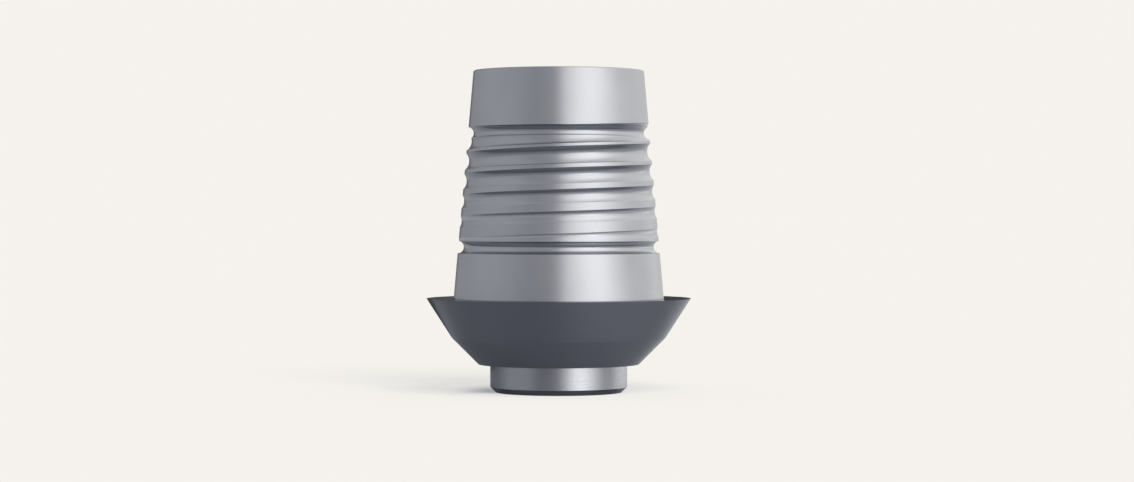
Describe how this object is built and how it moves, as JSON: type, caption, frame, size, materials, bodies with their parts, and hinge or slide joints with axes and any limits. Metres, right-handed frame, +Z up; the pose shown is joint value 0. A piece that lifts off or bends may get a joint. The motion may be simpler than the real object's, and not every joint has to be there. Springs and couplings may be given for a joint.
{
  "type": "dental abutment",
  "caption": "One-piece titanium base for a cemented crown: tapered post with ring and spiral grooves, flared collar with a sharp margin, short round foot and a through screw channel.",
  "frame": {"origin": "middle of the foot's end face, at the bottom of the part", "axes": "+Z up the turning axis towards the open end of the post; +X and +Y are free, the part being round"},
  "size_m": [0.0048, 0.0048, 0.0058],
  "materials": {
    "titanium": "satin turned titanium alloy, dark grey on the collar"
  },
  "bodies": {
    "root": {"abutment_body": "titanium"}
  },
  "joints": []
}
